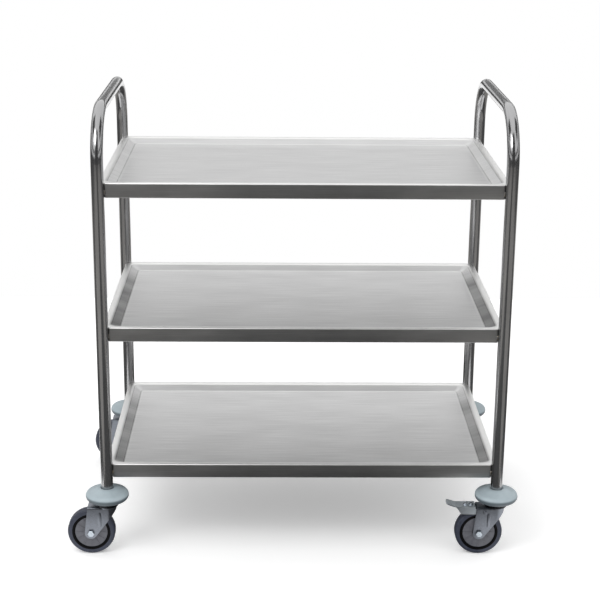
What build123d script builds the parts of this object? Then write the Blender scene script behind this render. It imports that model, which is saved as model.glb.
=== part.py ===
from build123d import *
import os
from math import cos, radians, sin

# Serving trolley: two bent-tube end frames carry three pressed trays and stand on four swivel castors.
# Millimetres. The origin is on the floor, midway between the four posts. X runs along the trolley,
# the front is at -Y, +Z is up, and at rest every castor trails towards -X.

# Frame: posts and handle bar are one tube
post_pitch_x = 820.0
post_pitch_y = 500.0
overall_height = 950.0
tube_od = 25.0
tube_wall = 1.5
handle_bend = 100.0

# Trays: one pressing each, its skirt in line with the posts' axes
bottom_rim = 200.0
tray_pitch = 300.0
sheet = 1.0
skirt = 30.0
skirt_return = 9.0
fold = 2.0
rim_width = 14.0
wall_run = 19.0
well_depth = 12.0
rim_corner = 16.0
floor_corner = 6.0
notch_gap = 0.5
notch_corner = 3.0
crease = 3.0
weld_radius = 1.8
weld_length = 9.0
weld_end = 1.4

# Castors: wheel and fork
wheel_diameter = 100.0
tyre_width = 24.0
tyre_shoulder = 5.0
rim_seat = 37.0
rim_half = 11.4
hub_half = 14.5
hub_boss = 13.0
web_half = 3.0
ledge_radius = 32.5
cover_radius = 34.0
cover_back = 9.4
cover_sheet = 1.4
rib_count = 12
rib_start = 16.0
rib_end = 32.0
rib_width = 2.0
rib_height = 1.0
axle_radius = 4.0
sleeve_radius = 6.0
bush_radius = 8.0
hexagon = 13.0
bolt_head = 5.3
nut_height = 6.5
nut_collar = 1.6
collar_radius = 5.5
bolt_bevel = 0.7
cover_gap = 0.2
trail = 35.0
fork_half = 18.0
fork_sheet = 2.5
crown_top = 108.5
crown_bend = 4.0
leg_boss = 13.0
leg_head = (-41.0, 18.0)
leg_head_height = 9.0

# Castors: swivel bearing and stem
kingpin_radius = 9.0
stem_radius = 6.0
race_radius = 20.0
race_top = 110.6
race_bottom = 105.0
upper_ball = 6.0
upper_pitch = 15.5
upper_count = 12
lower_ball = 4.8
lower_pitch = 12.5
lower_count = 10
upper_sink = 1.2
lower_sink = 0.8
track_gap = 0.02
cup_sheet = 3.0
cup_wall = 2.4
cup_gap = 0.6
cup_lap = 1.8
cup_bevel = 2.0
flange_sheet = 2.5
flange_radius = 15.5
insert_flange = 2.0
insert_length = 36.0
stem_length = 30.0
stem_point = 1.0

# Buffers between castor and post
buffer_diameter = 90.0
buffer_middle = 131.0
buffer_height = 20.0
buffer_crown = 148.0
socket_floor = 136.0
buffer_edge = 8.0
buffer_wall = 4.0
buffer_hollow = 6.0
socket_lip = 2.0

# Brake pedal: it tips about two rivets in the fork's legs
pedal_pivot = (-24.0, 99.0)
pedal_stroke = 6.0
pedal_sheet = 2.0
pedal_top = 110.0
pedal_ear = 6.0
pedal_back = -44.0
pedal_end = -84.0
flank_end = -74.0
tip_length = 22.0
tip_angle = 18.0
tip_half = 14.0
tip_corner = 6.0
shoe_span = (-70.0, -46.0)
shoe_gap = 0.4
peg_radius = 3.0
peg_head = 1.5
rivet_radius = 2.5
rivet_head_radius = 4.0
rivet_head = 1.8
rivet_dome = 1.2
rivet_foot = 0.6
pedal_play = 0.5
peg_head_radius = 4.2
peg_dome = 1.0

# Clearances: faces that turn on each other, and faces that sit in each other
running = 0.05
seat = 0.05
ball_gap = 0.3

tube_radius = tube_od / 2
handle_axis = overall_height - tube_radius
tube_foot = socket_floor + insert_flange
axle_height = wheel_diameter / 2
wheel_radius = wheel_diameter / 2
notch = tube_radius + notch_gap
leg_inside = fork_half - fork_sheet
crown_bottom = crown_top - fork_sheet

os.makedirs("parts", exist_ok=True)


def save(piece, name):
    piece.label = name
    export_step(piece, f"parts/{name}.step")


# End frames: post, handle bar and post from one length of tube, open at both feet
for side, sign in (("left", -1), ("right", 1)):
    with BuildPart() as end_frame:
        with BuildLine(Plane.YZ.offset(sign * post_pitch_x / 2)) as run:
            FilletPolyline(
                (-post_pitch_y / 2, tube_foot),
                (-post_pitch_y / 2, handle_axis),
                (post_pitch_y / 2, handle_axis),
                (post_pitch_y / 2, tube_foot),
                radius=handle_bend,
            )
        with BuildSketch(Plane(origin=run.line @ 0, z_dir=run.line % 0)):
            Circle(tube_radius)
            Circle(tube_radius - tube_wall, mode=Mode.SUBTRACT)
        sweep()
    save(end_frame.part, f"{side}_end_frame")


# Trays: rim and skirt are a folded lid, notched round the posts, with a well pressed into it
tray_rims = {
    "bottom": bottom_rim,
    "middle": bottom_rim + tray_pitch,
    "top": bottom_rim + 2 * tray_pitch,
}
floor_inset = rim_width + wall_run
rim_crease_x = post_pitch_x / 2 - rim_width + sheet
rim_crease_y = post_pitch_y / 2 - rim_width + sheet


def notched_plate(plane, inset, corner):
    with BuildSketch(plane) as plate:
        Rectangle(post_pitch_x - 2 * inset, post_pitch_y - 2 * inset)
        with GridLocations(post_pitch_x, post_pitch_y, 2, 2):
            Circle(notch + inset, mode=Mode.SUBTRACT)
        fillet(plate.vertices(), corner)
    return plate.sketch


def well_level(plane, inset, corner):
    with BuildSketch(plane) as level:
        RectangleRounded(post_pitch_x - 2 * inset, post_pitch_y - 2 * inset, corner)
    return level.sketch


for level, rim in tray_rims.items():
    rim_plane = Plane.XY.offset(rim)
    under_rim = rim_plane.offset(-sheet)
    with BuildPart() as tray:
        extrude(notched_plate(rim_plane, 0, notch_corner), amount=-skirt)
        fillet(tray.edges().group_by(Axis.Z)[-1], fold)
        extrude(
            notched_plate(under_rim, sheet, notch_corner - sheet),
            amount=2 * sheet - skirt,
            mode=Mode.SUBTRACT,
        )
        extrude(
            notched_plate(under_rim, skirt_return, notch_corner - sheet),
            amount=-skirt,
            mode=Mode.SUBTRACT,
        )
        loft(
            (
                well_level(under_rim, rim_width, rim_corner),
                well_level(under_rim.offset(-well_depth), floor_inset, floor_corner),
            ),
            ruled=True,
        )
        loft(
            (
                well_level(rim_plane, rim_width, rim_corner),
                well_level(rim_plane.offset(-well_depth), floor_inset, floor_corner),
            ),
            ruled=True,
            mode=Mode.SUBTRACT,
        )
        rim_edges = tray.edges().filter_by_position(Axis.Z, rim, rim)
        rim_edges = rim_edges.filter_by_position(Axis.X, -rim_crease_x, rim_crease_x)
        rim_edges = rim_edges.filter_by_position(Axis.Y, -rim_crease_y, rim_crease_y)
        floor_edges = tray.edges().filter_by_position(Axis.Z, rim - well_depth, rim - well_depth)
        fillet(rim_edges + floor_edges, crease)
    save(tray.part, f"{level}_tray")


# Welds: at each corner of each tray, one bead from each skirt to the post
weld_reach = tube_radius + 2 * notch_gap
weld_drop = skirt - fold - weld_length
weld_points = []
for rim in tray_rims.values():
    for sign_x in (-1, 1):
        for sign_y in (-1, 1):
            post_x = sign_x * post_pitch_x / 2
            post_y = sign_y * post_pitch_y / 2
            weld_points.append((post_x - sign_x * weld_reach, post_y, rim - weld_drop))
            weld_points.append((post_x, post_y - sign_y * weld_reach, rim - weld_drop))

with BuildPart() as welds:
    with Locations(*weld_points):
        Cylinder(weld_radius, weld_length)
    fillet(welds.edges().filter_by(GeomType.CIRCLE), weld_end)
save(welds.part, "tray_welds")


# Castors, one corner after the other
castors = {
    "front_left": (-1, -1),
    "front_right": (1, -1),
    "rear_left": (-1, 1),
    "rear_right": (1, 1),
}
braked = ("front_right", "rear_right")
feet = [(sx * post_pitch_x / 2, sy * post_pitch_y / 2) for sx, sy in castors.values()]

upper_ball_height = race_top - upper_sink + upper_ball / 2
lower_ball_height = race_bottom + lower_sink - lower_ball / 2
cup_bottom = upper_ball_height + upper_ball / 2 + ball_gap - upper_sink
cup_top = cup_bottom + cup_sheet
flange_top = lower_ball_height - lower_ball / 2 - ball_gap
flange_bottom = flange_top - flange_sheet
insert_top = tube_foot + insert_length
stem_top = tube_foot + stem_length
pedal_half = leg_inside - pedal_play
peg_points = ((shoe_span[0] + 2 * peg_radius, 0), (shoe_span[1] - 2 * peg_radius, 0))

# The shoe's hollow is centred on the wheel when the pedal is down, so it is turned back by the stroke
pivot_to_wheel = (-trail - pedal_pivot[0], axle_height - pedal_pivot[1])
stroke_cos = cos(radians(pedal_stroke))
stroke_sin = sin(radians(pedal_stroke))
shoe_centre = (
    pedal_pivot[0] + pivot_to_wheel[0] * stroke_cos + pivot_to_wheel[1] * stroke_sin,
    pedal_pivot[1] - pivot_to_wheel[0] * stroke_sin + pivot_to_wheel[1] * stroke_cos,
)


# Inserts: a threaded plug in the foot of each post, its flange under the tube's end
with BuildPart() as inserts:
    for x, y in feet:
        with BuildSketch(Plane((x, y, socket_floor))):
            Circle(tube_radius - seat)
            Circle(stem_radius + seat, mode=Mode.SUBTRACT)
        extrude(amount=insert_flange)
        with BuildSketch(Plane((x, y, tube_foot))):
            Circle(tube_radius - tube_wall - seat)
            Circle(stem_radius + seat, mode=Mode.SUBTRACT)
        extrude(amount=insert_top - tube_foot)
save(inserts.part, "stem_inserts")


# Stems: kingpin with the lower ball track's flange at its foot and the thread above its shoulder
with BuildPart() as stems:
    for x, y in feet:
        with BuildSketch(Plane((x, y, 0), x_dir=(1, 0, 0), z_dir=(0, -1, 0))):
            with BuildLine():
                Polyline(
                    (0, flange_bottom),
                    (flange_radius, flange_bottom),
                    (flange_radius, flange_top),
                    (kingpin_radius, flange_top),
                    (kingpin_radius, cup_bottom),
                    (stem_radius, cup_bottom),
                    (stem_radius, stem_top - stem_point),
                    (stem_radius - stem_point, stem_top),
                    (0, stem_top),
                    close=True,
                )
            make_face()
        revolve(axis=Axis((x, y, 0), (0, 0, 1)))
save(stems.part, "castor_stems")


for corner, (x, y) in zip(castors, feet):
    deck = Plane((x, y, 0))
    upright = Plane((x, y, 0), x_dir=(1, 0, 0), z_dir=(0, -1, 0))
    stem_axis = Axis((x, y, 0), (0, 0, 1))
    hub_centre = (x - trail, y, axle_height)
    across = Plane(hub_centre, x_dir=(0, 1, 0), z_dir=(1, 0, 0))
    wheel_face = Plane(hub_centre, x_dir=(1, 0, 0), z_dir=(0, -1, 0))
    axle_axis = Axis(hub_centre, (0, 1, 0))

    # Buffer: a moulded disc with a rounded rim, a socket for the tube and a hollow underside
    with BuildPart() as buffer:
        rim_low = buffer_middle - buffer_height / 2
        rim_high = buffer_middle + buffer_height / 2
        rim_radius = buffer_diameter / 2
        rim_start = rim_radius - buffer_edge
        socket = tube_radius + 2 * seat
        with BuildSketch(upright):
            with BuildLine():
                Polyline(
                    (socket, socket_floor),
                    (stem_radius + seat, socket_floor),
                    (stem_radius + seat, cup_top),
                    (race_radius, cup_top),
                    (race_radius, rim_low + buffer_hollow),
                    (rim_start - buffer_wall, rim_low + buffer_hollow),
                    (rim_start - buffer_wall, rim_low),
                    (rim_start, rim_low),
                )
                ThreePointArc((rim_start, rim_low), (rim_radius, buffer_middle), (rim_start, rim_high))
                Spline(
                    (rim_start, rim_high),
                    (socket + socket_lip, buffer_crown),
                    tangents=((-0.9, 0.25), (-1, 0)),
                )
                Polyline(
                    (socket + socket_lip, buffer_crown),
                    (socket, buffer_crown - socket_lip),
                    (socket, socket_floor),
                )
            make_face()
        revolve(axis=stem_axis)
    save(buffer.part, f"buffer_{corner}")

    # Swivel cup: the pressed head over the upper ball row, fixed between stem and buffer
    with BuildPart() as cup:
        cup_inside = race_radius + cup_gap
        cup_radius = cup_inside + cup_wall
        with BuildSketch(upright) as section:
            with BuildLine():
                Polyline(
                    (stem_radius + seat, cup_bottom),
                    (cup_inside, cup_bottom),
                    (cup_inside, race_top - cup_lap),
                    (cup_radius, race_top - cup_lap),
                    (cup_radius, cup_top - cup_bevel),
                    (cup_radius - cup_bevel, cup_top),
                    (stem_radius + seat, cup_top),
                    close=True,
                )
            make_face()
            with Locations((upper_pitch, upper_ball_height)):
                Circle(upper_ball / 2 + ball_gap, mode=Mode.SUBTRACT)
        revolve(axis=stem_axis)
    save(cup.part, f"swivel_cup_{corner}")

    # Fork: pressed from sheet, round in front of the stem and open behind, with its ball tracks on top
    with BuildPart() as fork:
        leg_foot = axle_height - leg_boss
        fork_back = trail + leg_boss
        with BuildSketch(deck.offset(crown_top)):
            Circle(fork_half)
            with Locations((-fork_back / 2, 0)):
                Rectangle(fork_back, 2 * fork_half)
        extrude(amount=leg_foot - crown_top)
        crown_edges = fork.edges().group_by(Axis.Z)[-1]
        fillet(crown_edges.sort_by(Axis.X)[1:], crown_bend)
        with BuildSketch(deck.offset(crown_bottom)):
            Circle(leg_inside)
            with Locations((-fork_back / 2, 0)):
                Rectangle(fork_back, 2 * leg_inside)
        extrude(amount=leg_foot - crown_bottom, mode=Mode.SUBTRACT)
        with BuildSketch(upright):
            with Locations((-trail, axle_height)):
                Circle(leg_boss)
            with Locations((sum(leg_head) / 2, crown_top - leg_head_height / 2)):
                Rectangle(leg_head[1] - leg_head[0], leg_head_height)
            make_hull()
        extrude(amount=fork_half, both=True, mode=Mode.INTERSECT)
        with BuildSketch(upright):
            with Locations(((kingpin_radius + race_radius) / 2, (race_bottom + race_top) / 2)):
                Rectangle(race_radius - kingpin_radius, race_top - race_bottom)
        revolve(axis=stem_axis)
        with BuildSketch(upright):
            with Locations(((kingpin_radius + ball_gap) / 2, (race_bottom + race_top) / 2)):
                Rectangle(kingpin_radius + ball_gap, race_top - race_bottom)
            with Locations((upper_pitch, upper_ball_height)):
                Circle(upper_ball / 2 + track_gap)
            with Locations((lower_pitch, lower_ball_height)):
                Circle(lower_ball / 2 + track_gap)
        revolve(axis=stem_axis, mode=Mode.SUBTRACT)
        with BuildSketch(wheel_face):
            Circle(axle_radius + seat)
        extrude(amount=fork_half, both=True, mode=Mode.SUBTRACT)
        if corner in braked:
            with BuildSketch(upright):
                with Locations(pedal_pivot):
                    Circle(rivet_radius + seat)
            extrude(amount=fork_half, both=True, mode=Mode.SUBTRACT)
    save(fork.part, f"fork_{corner}")

    # Bearing balls: one row on top of the fork's crown and a smaller one under it
    with BuildPart() as balls:
        with Locations(deck.offset(upper_ball_height)):
            with PolarLocations(upper_pitch, upper_count):
                Sphere(upper_ball / 2)
        with Locations(deck.offset(lower_ball_height)):
            with PolarLocations(lower_pitch, lower_count):
                Sphere(lower_ball / 2)
    save(balls.part, f"swivel_balls_{corner}")

    # Axle bolt: hexagon head on the front leg, through both legs and the sleeve
    with BuildPart() as bolt:
        with BuildSketch(wheel_face.offset(fork_half)):
            RegularPolygon(hexagon / 2, 6, major_radius=False)
        extrude(amount=bolt_head)
        chamfer(bolt.edges().group_by(Axis.Y)[0], bolt_bevel)
        with BuildSketch(wheel_face.offset(fork_half)):
            Circle(axle_radius)
        extrude(amount=-2 * fork_half - nut_height - nut_collar - bolt_bevel)
    save(bolt.part, f"axle_bolt_{corner}")

    # Axle nut: self-locking, with its round collar outwards
    with BuildPart() as nut:
        nut_seat = wheel_face.offset(-fork_half)
        with BuildSketch(nut_seat):
            RegularPolygon(hexagon / 2, 6, major_radius=False)
        extrude(amount=-nut_height)
        with BuildSketch(nut_seat.offset(-nut_height)):
            Circle(collar_radius)
        extrude(amount=-nut_collar)
        with BuildSketch(nut_seat):
            Circle(axle_radius + seat)
        extrude(amount=-nut_height - nut_collar, mode=Mode.SUBTRACT)
    save(nut.part, f"axle_nut_{corner}")

    # Axle sleeve: clamped between the legs, so that the bolt can be tight and the wheel still turns
    with BuildPart() as sleeve:
        with BuildSketch(wheel_face):
            Circle(sleeve_radius)
            Circle(axle_radius + seat, mode=Mode.SUBTRACT)
        extrude(amount=leg_inside, both=True)
    save(sleeve.part, f"axle_sleeve_{corner}")

    # Wheel bush: a plain bearing pressed into the wheel body, running on the sleeve
    with BuildPart() as bush:
        with BuildSketch(wheel_face):
            Circle(bush_radius)
            Circle(sleeve_radius + running, mode=Mode.SUBTRACT)
        extrude(amount=hub_half, both=True)
    save(bush.part, f"wheel_bush_{corner}")

    # Wheel body: boss, web and the rim that the tyre is moulded on, with a ledge for each cover disc
    with BuildPart() as hub:
        hub_rings = (
            (hub_half, bush_radius + seat, hub_boss),
            (web_half, hub_boss, ledge_radius),
            (cover_back, ledge_radius, cover_radius + cover_gap),
            (rim_half, cover_radius + cover_gap, rim_seat),
        )
        with BuildSketch(across):
            for half, inner, outer in hub_rings:
                with Locations((0, (inner + outer) / 2)):
                    Rectangle(2 * half, outer - inner)
        revolve(axis=axle_axis)
    save(hub.part, f"wheel_body_{corner}")

    # Tyre: a solid rubber ring with rounded shoulders
    with BuildPart() as tyre:
        with BuildSketch(across) as section:
            with Locations((0, (rim_seat + seat + wheel_radius) / 2)):
                Rectangle(tyre_width, wheel_radius - rim_seat - seat)
            fillet(section.vertices().group_by(Axis.Y)[-1], tyre_shoulder)
        revolve(axis=axle_axis)
    save(tyre.part, f"tyre_{corner}")

    # Cover discs: one on each face of the wheel, stiffened by radial ribs
    with BuildPart() as covers:
        with BuildSketch(wheel_face.offset(cover_back)):
            Circle(cover_radius)
            Circle(hub_boss + cover_gap, mode=Mode.SUBTRACT)
        extrude(amount=cover_sheet)
        with BuildSketch(wheel_face.offset(cover_back + cover_sheet)):
            with PolarLocations((rib_start + rib_end) / 2, rib_count):
                Rectangle(rib_end - rib_start, rib_width)
        extrude(amount=rib_height)
        mirror(about=wheel_face)
    save(covers.part, f"cover_discs_{corner}")

    if corner not in braked:
        continue

    # Pedal rivets: one in each leg, with the pedal's ear turning on its shank
    with BuildPart() as rivets:
        pivot = (x + pedal_pivot[0], y, pedal_pivot[1])
        inner_head = pedal_half - pedal_sheet - 2 * running
        rivet_rings = (
            (inner_head - rivet_foot, inner_head, rivet_head_radius),
            (inner_head - rivet_foot, fork_half, rivet_radius),
            (fork_half, fork_half + rivet_head, rivet_head_radius),
        )
        with BuildSketch(Plane(pivot, x_dir=(0, -1, 0), z_dir=(-1, 0, 0))):
            for start, end, radius in rivet_rings:
                with Locations(((start + end) / 2, radius / 2)):
                    Rectangle(end - start, radius)
        revolve(axis=Axis(pivot, (0, 1, 0)))
        fillet(rivets.edges().group_by(Axis.Y)[0], rivet_dome)
        mirror(about=upright)
    save(rivets.part, f"pedal_rivets_{corner}")

    # Pedal: a channel over the wheel, its ears inside the fork's legs, its tip bent up for the foot
    with BuildPart() as pedal:
        ear_x, ear_z = pedal_pivot
        plate_bottom = pedal_top - pedal_sheet
        flank_bottom = ear_z - pedal_ear
        with BuildSketch(upright):
            with Locations(pedal_pivot):
                Circle(pedal_ear)
            with BuildLine():
                Polyline(
                    (ear_x, flank_bottom),
                    (ear_x, ear_z + pedal_ear),
                    (pedal_back, ear_z + pedal_ear),
                    (pedal_back, pedal_top),
                    (pedal_end, pedal_top),
                    (pedal_end, plate_bottom),
                    (flank_end, flank_bottom),
                    close=True,
                )
            make_face()
        extrude(amount=pedal_half, both=True)
        with BuildSketch(upright):
            with Locations(((ear_x + pedal_end) / 2, plate_bottom - pedal_top / 2)):
                Rectangle(pedal_back - 2 * pedal_end, pedal_top)
        extrude(amount=pedal_half - pedal_sheet, both=True, mode=Mode.SUBTRACT)
        tip_plane = Plane(
            (x + pedal_end, y, pedal_top),
            x_dir=(-cos(radians(tip_angle)), 0, sin(radians(tip_angle))),
            z_dir=(sin(radians(tip_angle)), 0, cos(radians(tip_angle))),
        )
        with BuildSketch(tip_plane) as tip:
            with Locations(((tip_length - pedal_sheet) / 2, 0)):
                Rectangle(tip_length + pedal_sheet, 2 * tip_half)
            fillet(tip.vertices().group_by(Axis.X)[-1], tip_corner)
        extrude(amount=-pedal_sheet)
        with BuildSketch(upright):
            with Locations(pedal_pivot):
                Circle(rivet_radius + running)
        extrude(amount=pedal_half, both=True, mode=Mode.SUBTRACT)
        with BuildSketch(deck.offset(plate_bottom)):
            with Locations(*peg_points):
                Circle(peg_radius + seat)
        extrude(amount=pedal_sheet, mode=Mode.SUBTRACT)
    save(pedal.part, f"brake_pedal_{corner}")

    # Shoe: a rubber block under the pedal's plate, held by two pegs, hollowed to fit the pressed wheel
    with BuildPart() as shoe:
        with BuildSketch(upright):
            with Locations((sum(shoe_span) / 2, plate_bottom - pedal_ear)):
                Rectangle(shoe_span[1] - shoe_span[0], 2 * pedal_ear)
            with Locations(shoe_centre):
                Circle(wheel_radius + shoe_gap, mode=Mode.SUBTRACT)
        extrude(amount=tyre_width / 2, both=True)
        with BuildSketch(deck.offset(plate_bottom)):
            with Locations(*peg_points):
                Circle(peg_radius)
        extrude(amount=pedal_sheet)
        with BuildSketch(deck.offset(pedal_top)):
            with Locations(*peg_points):
                Circle(peg_head_radius)
        extrude(amount=peg_head)
        fillet(shoe.edges().group_by(Axis.Z)[-1], peg_dome)
    save(shoe.part, f"brake_shoe_{corner}")
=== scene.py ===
from math import asin, atan2, hypot, pi, radians

import bmesh
import bpy
from mathutils import Matrix, Vector


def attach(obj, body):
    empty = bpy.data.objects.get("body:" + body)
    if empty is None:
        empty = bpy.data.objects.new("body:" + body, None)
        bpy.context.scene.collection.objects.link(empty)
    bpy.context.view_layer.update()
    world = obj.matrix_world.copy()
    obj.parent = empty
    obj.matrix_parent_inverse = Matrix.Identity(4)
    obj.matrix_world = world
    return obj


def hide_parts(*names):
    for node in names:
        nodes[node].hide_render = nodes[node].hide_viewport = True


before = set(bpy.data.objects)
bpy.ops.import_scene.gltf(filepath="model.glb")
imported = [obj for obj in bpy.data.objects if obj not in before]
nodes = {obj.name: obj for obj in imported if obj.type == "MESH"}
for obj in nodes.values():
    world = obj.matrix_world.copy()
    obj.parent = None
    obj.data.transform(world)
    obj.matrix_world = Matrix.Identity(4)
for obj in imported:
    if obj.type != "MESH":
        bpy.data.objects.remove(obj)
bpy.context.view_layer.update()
scene = bpy.context.scene
scene.view_settings.view_transform = "Standard"


# Camera. It stands three metres in front of the trolley, a little left of its middle and above the
# handles, and looks down on the trays through a short telephoto lens.
eye = (-0.060, -3.098, 1.432)
yaw, dip, roll = -1.04, 17.01, 0.52

camera_data = bpy.data.cameras.new("camera")
camera_data.sensor_width = 36.0
camera_data.lens = 88.3
camera = bpy.data.objects.new("camera", camera_data)
camera.matrix_world = (
    Matrix.Translation(eye)
    @ Matrix.Rotation(radians(yaw), 4, "Z")
    @ Matrix.Rotation(radians(90 - dip), 4, "X")
    @ Matrix.Rotation(radians(roll), 4, "Z")
)
scene.collection.objects.link(camera)
scene.camera = camera


# Studio. A white surround lights everything softly, a lamp at the upper left gives the shadows a
# direction, and the trolley stands on a white plate. Polished steel mirrors its room, so a dark room with
# mats on its floor and hangings at its sides stands round the plate for reflections alone.
MM = 0.001
MIX_A, MIX_B, MIX_RESULT = 6, 7, 2  # a Mix node's colour sockets, whose names its other sockets share
lamp_aim = Vector((0.1, 0.1, 0.3))
shade_lift = 0.19
roller_patch = 333.333 * MM
cloth_fold = 500 * MM
plate_size, plate_centre = (2.2, 2.1), (0, 0.55, 0)
room_reach, front_reach, side_reach = 12.0, 5.0, 6.0
dark_floor, mat_floor = 0.5 * MM, 1 * MM
runner_size, castor_mat_size, grey_mat_size = (3.6, 7.5), (0.4, 1.0), (2.7, 4.6)


def linear(code):
    """The linear colour of an sRGB hex code."""
    parts = [int(code[i:i + 2], 16) / 255 for i in (1, 3, 5)]
    return tuple(c / 12.92 if c <= 0.04045 else ((c + 0.055) / 1.055) ** 2.4 for c in parts) + (1.0,)


def add(tree, kind, inputs=None, **settings):
    """Adds a node with its settings. An input is a value, or the socket that is linked to it."""
    node = tree.nodes.new(kind)
    for name, value in settings.items():
        setattr(node, name, value)
    for name, value in (inputs or {}).items():
        if isinstance(value, bpy.types.NodeSocket):
            tree.links.new(value, node.inputs[name])
        else:
            node.inputs[name].default_value = value
    return node


world = bpy.data.worlds.new("studio")
scene.world = world
world.use_nodes = True
sky = world.node_tree
sky.nodes.clear()
white_surround = add(sky, "ShaderNodeBackground", {"Color": linear("#FFFFFF"), "Strength": 1.0})
add(sky, "ShaderNodeOutputWorld", {"Surface": white_surround.outputs[0]})

for name, lamp_place, width, depth, watts, mirrored in (
    ("key_lamp", (-1.5, -1.9, 2.7), 1.8, 1.2, 26, True),
    ("top_lamp", (0.0, 0.2, 2.9), 2.4, 1.6, 6, False),
):
    lamp_data = bpy.data.lights.new(name, "AREA")
    lamp_data.shape = "RECTANGLE"
    lamp_data.size = width
    lamp_data.size_y = depth
    lamp_data.energy = watts
    lamp = bpy.data.objects.new(name, lamp_data)
    aim = (lamp_aim - Vector(lamp_place)).to_track_quat("-Z", "Y")
    lamp.matrix_world = Matrix.Translation(lamp_place) @ aim.to_matrix().to_4x4()
    lamp.visible_glossy = mirrored
    scene.collection.objects.link(lamp)


def material(name):
    """A new material and its node tree, which is still empty."""
    made = bpy.data.materials.new(name)
    made.use_nodes = True
    made.node_tree.nodes.clear()
    return made, made.node_tree


def stage_piece(name, bm, finish, *hidden_from):
    """A mesh that belongs to the studio and not to the trolley, hidden from some kinds of rays."""
    mesh = bpy.data.meshes.new(name)
    bm.to_mesh(mesh)
    bm.free()
    mesh.materials.append(finish)
    made = bpy.data.objects.new(name, mesh)
    scene.collection.objects.link(made)
    for kind in hidden_from:
        setattr(made, f"visible_{kind}", False)


# Matt painted board: white, with the faintest unevenness of a rolled coat. The camera and the steel see it
# lightened, so that its shade stays pale
pale_board, tree = material("matt_painted_board")
place = add(tree, "ShaderNodeTexCoord").outputs["Object"]
rolled = add(tree, "ShaderNodeTexNoise", {"Vector": place, "Scale": 1 / roller_patch, "Detail": 3.0})
paint = add(
    tree, "ShaderNodeMix", {0: rolled.outputs["Fac"], MIX_A: linear("#FCFCFC"), MIX_B: linear("#FFFFFF")},
    data_type="RGBA",
).outputs[MIX_RESULT]
shader = add(
    tree, "ShaderNodeBsdfPrincipled", {"Base Color": paint, "Roughness": 0.9, "Specular IOR Level": 0.0}
)
ray = add(tree, "ShaderNodeLightPath").outputs
seen = add(tree, "ShaderNodeMath", {0: ray["Is Camera Ray"], 1: ray["Is Glossy Ray"]}, operation="MAXIMUM")
seen = add(tree, "ShaderNodeMath", {0: seen.outputs[0], 1: ray["Is Transmission Ray"]}, operation="MAXIMUM")
lift = add(tree, "ShaderNodeMath", {0: seen.outputs[0], 1: shade_lift}, operation="MULTIPLY")
glow = add(tree, "ShaderNodeEmission", {"Color": linear("#FFFFFF"), "Strength": lift.outputs[0]})
lifted = add(tree, "ShaderNodeAddShader", {0: shader.outputs[0], 1: glow.outputs[0]})
add(tree, "ShaderNodeOutputMaterial", {"Surface": lifted.outputs[0]})

# Studio cloth: plain woven cotton, dark or mid grey, and a little uneven from one fold to the next
cloths = []
for name, shade, light in (
    ("dark_studio_cloth", "#494949", "#4F4F4F"),
    ("grey_studio_cloth", "#918F8C", "#979592"),
):
    cloth, tree = material(name)
    place = add(tree, "ShaderNodeTexCoord").outputs["Object"]
    folds = add(tree, "ShaderNodeTexNoise", {"Vector": place, "Scale": 1 / cloth_fold, "Detail": 2.0})
    grey = add(
        tree, "ShaderNodeMix", {0: folds.outputs["Fac"], MIX_A: linear(shade), MIX_B: linear(light)},
        data_type="RGBA",
    ).outputs[MIX_RESULT]
    shader = add(tree, "ShaderNodeBsdfPrincipled", {"Base Color": grey, "Roughness": 0.9})
    add(tree, "ShaderNodeOutputMaterial", {"Surface": shader.outputs[0]})
    cloths.append(cloth)
dark_cloth, grey_cloth = cloths


def board(bm, width, depth, centre):
    """A flat board that lies on the floor."""
    bmesh.ops.create_grid(
        bm, x_segments=8, y_segments=8, size=0.5,
        matrix=Matrix.Translation(centre) @ Matrix.Diagonal((width, depth, 1, 1)),
    )


bm = bmesh.new()
board(bm, *plate_size, plate_centre)
stage_piece("floor", bm, pale_board)

# The dark room: its floor, the foot of its walls, a dark band on them, its front behind the camera, and
# hangings at its sides, which draw the streaks on the bends of the handles. Its floor lies just over the
# plate and the mats just over that, so that reflections show them instead
for name, low_edge, high_edge, heading, spread in (
    ("dark_room_floor", (0.01, dark_floor), (room_reach, dark_floor), 0, 2 * pi),
    ("dark_room_foot", (room_reach, dark_floor), (room_reach, 1.6), 0, 2 * pi),
    ("dark_room_band", (room_reach, 2.7), (room_reach, 4.2), 0, 2 * pi),
    ("dark_room_front", (front_reach, dark_floor), (front_reach, 9.0), -pi / 2, 0.3 * pi),
    ("dark_room_left", (side_reach, 3.6), (side_reach, 9.5), pi, 0.28 * pi),
    ("dark_room_right", (side_reach, 3.6), (side_reach, 9.5), 0, 0.28 * pi),
):
    bm = bmesh.new()
    ends = [bm.verts.new((reach, 0, height)) for reach, height in (low_edge, high_edge)]
    bmesh.ops.rotate(bm, verts=ends, matrix=Matrix.Rotation(heading + spread / 2, 3, "Z"))
    bmesh.ops.spin(
        bm, geom=ends + [bm.edges.new(ends)], cent=(0, 0, 0), axis=(0, 0, -1), dvec=(0, 0, 0),
        angle=spread, steps=48, use_merge=spread == 2 * pi, use_duplicate=False,
    )
    stage_piece(name, bm, dark_cloth, "camera", "diffuse", "shadow")

# Pale mats under the castors light the forks, and a pale runner far behind lights the handles from below.
# Grey mats before and behind draw soft streaks along the posts
pale_mats, grey_mats = bmesh.new(), bmesh.new()
board(pale_mats, *runner_size, (0, 6.5, mat_floor))
for side in (-1, 1):
    board(pale_mats, *castor_mat_size, (0.58 * side, 0.05, mat_floor))
    for end in (-1, 1):
        board(grey_mats, *grey_mat_size, (1.95 * side, 2.86 * end, mat_floor))
stage_piece("pale_mats", pale_mats, pale_board, "camera", "diffuse", "shadow")
stage_piece("grey_mats", grey_mats, grey_cloth, "camera", "diffuse", "shadow")


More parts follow.
